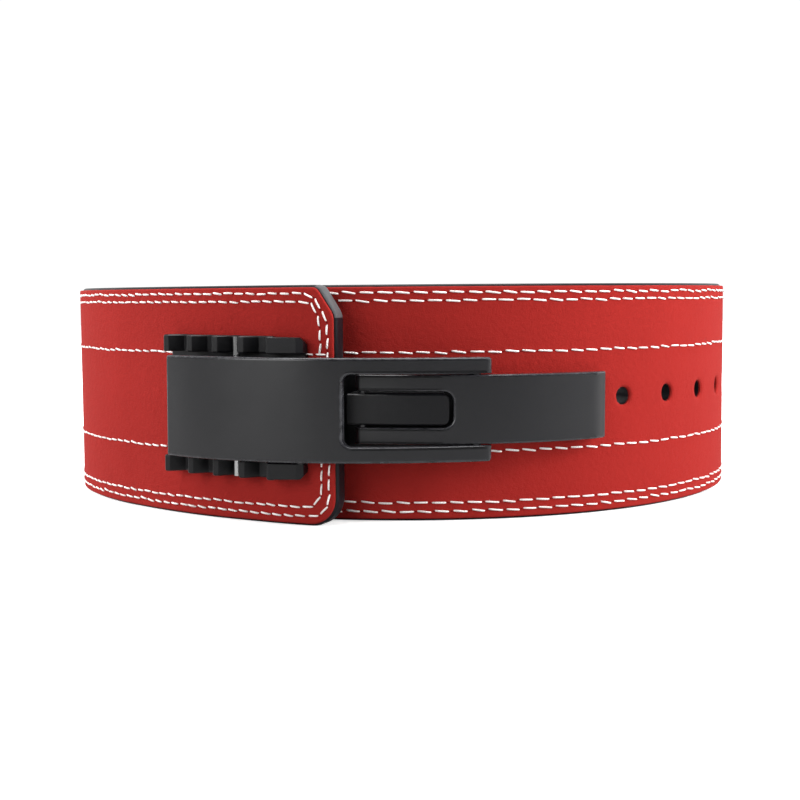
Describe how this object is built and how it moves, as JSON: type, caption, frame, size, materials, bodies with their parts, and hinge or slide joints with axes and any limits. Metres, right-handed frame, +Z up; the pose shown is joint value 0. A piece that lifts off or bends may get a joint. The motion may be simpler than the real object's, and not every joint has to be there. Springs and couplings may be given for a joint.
{
  "type": "lever weightlifting belt",
  "caption": "Stiff leather weightlifting belt wound into a lapped loop, standing on its edge, closed by a lever buckle with a forked link and a toothed rack.",
  "frame": {"origin": "on the surface that the belt stands on, under the middle of the whole belt with its buckle", "axes": "+Z up along the loop's axis; the buckle is on the front, which faces -Y; +X to the right seen from the front"},
  "size_m": [0.3326, 0.3482, 0.1],
  "materials": {
    "black_leather": "thick black dyed leather with painted edges and a short suede nap inside",
    "red_suede": "red suede with a short nap, sewn with white thread",
    "black_metal": "satin black coated steel with slightly worn bright edges",
    "bright_steel": "bright polished steel"
  },
  "bodies": {
    "belt": {"belt_core": "black_leather", "suede_face": "red_suede", "toothed_rack": "black_metal", "rack_screw_1": "black_metal", "rack_screw_2": "black_metal", "rack_screw_3": "black_metal", "rack_screw_4": "black_metal", "anchor_block": "black_metal", "anchor_screw_1": "black_metal", "anchor_screw_2": "black_metal", "anchor_pin": "bright_steel"},
    "lever": {"lever_handle": "black_metal", "fork_pin": "bright_steel"},
    "link": {"fork_link": "black_metal", "crossbar": "bright_steel"}
  },
  "joints": [
    {"name": "lever_hinge", "type": "hinge", "parent": "belt", "child": "lever", "pos_m": [-0.01747, -0.16216, 0.04887], "axis": [-0.0079, 0, -1], "range_deg": [0, 120]},
    {"name": "link_hinge", "type": "hinge", "parent": "lever", "child": "link", "pos_m": [0.02946, -0.16315, 0.0485], "axis": [-0.0079, 0, -1], "range_deg": [-120, 0]}
  ],
  "couplings": [
    {"joint": "link_hinge", "follows": "lever_hinge", "ratio": -1}
  ]
}
